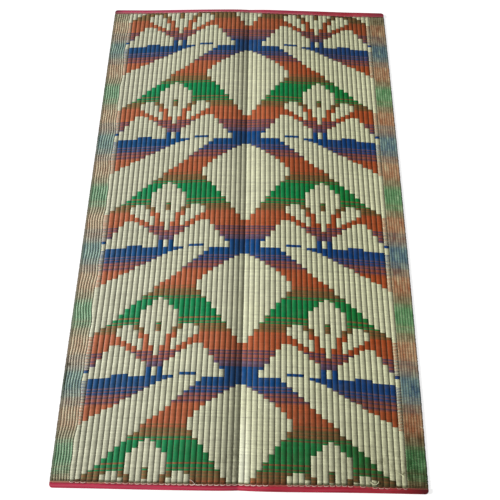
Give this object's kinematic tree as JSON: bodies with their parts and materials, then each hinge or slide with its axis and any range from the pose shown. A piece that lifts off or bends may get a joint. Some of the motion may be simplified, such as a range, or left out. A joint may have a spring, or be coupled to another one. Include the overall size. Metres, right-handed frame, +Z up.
{
  "type": "plastic floor mat",
  "caption": "Rectangular woven plastic floor mat with lengthwise ribs, bare selvedges, folded tape bindings at both ends and the set of an old fold down its middle.",
  "frame": {"origin": "on the floor under the middle of the mat", "axes": "+X across the mat to the right, +Y along it towards the head end, +Z up from the floor"},
  "size_m": [1.1648, 1.83, 0.0139],
  "materials": {
    "woven_straw": "woven polypropylene straws in cream, blue, orange and green, slightly glossy",
    "binding_tape": "smooth crimson plastic tape with a soft sheen"
  },
  "bodies": {
    "root": {"woven_body": "woven_straw", "head_binding": "binding_tape", "foot_binding": "binding_tape"}
  },
  "joints": []
}
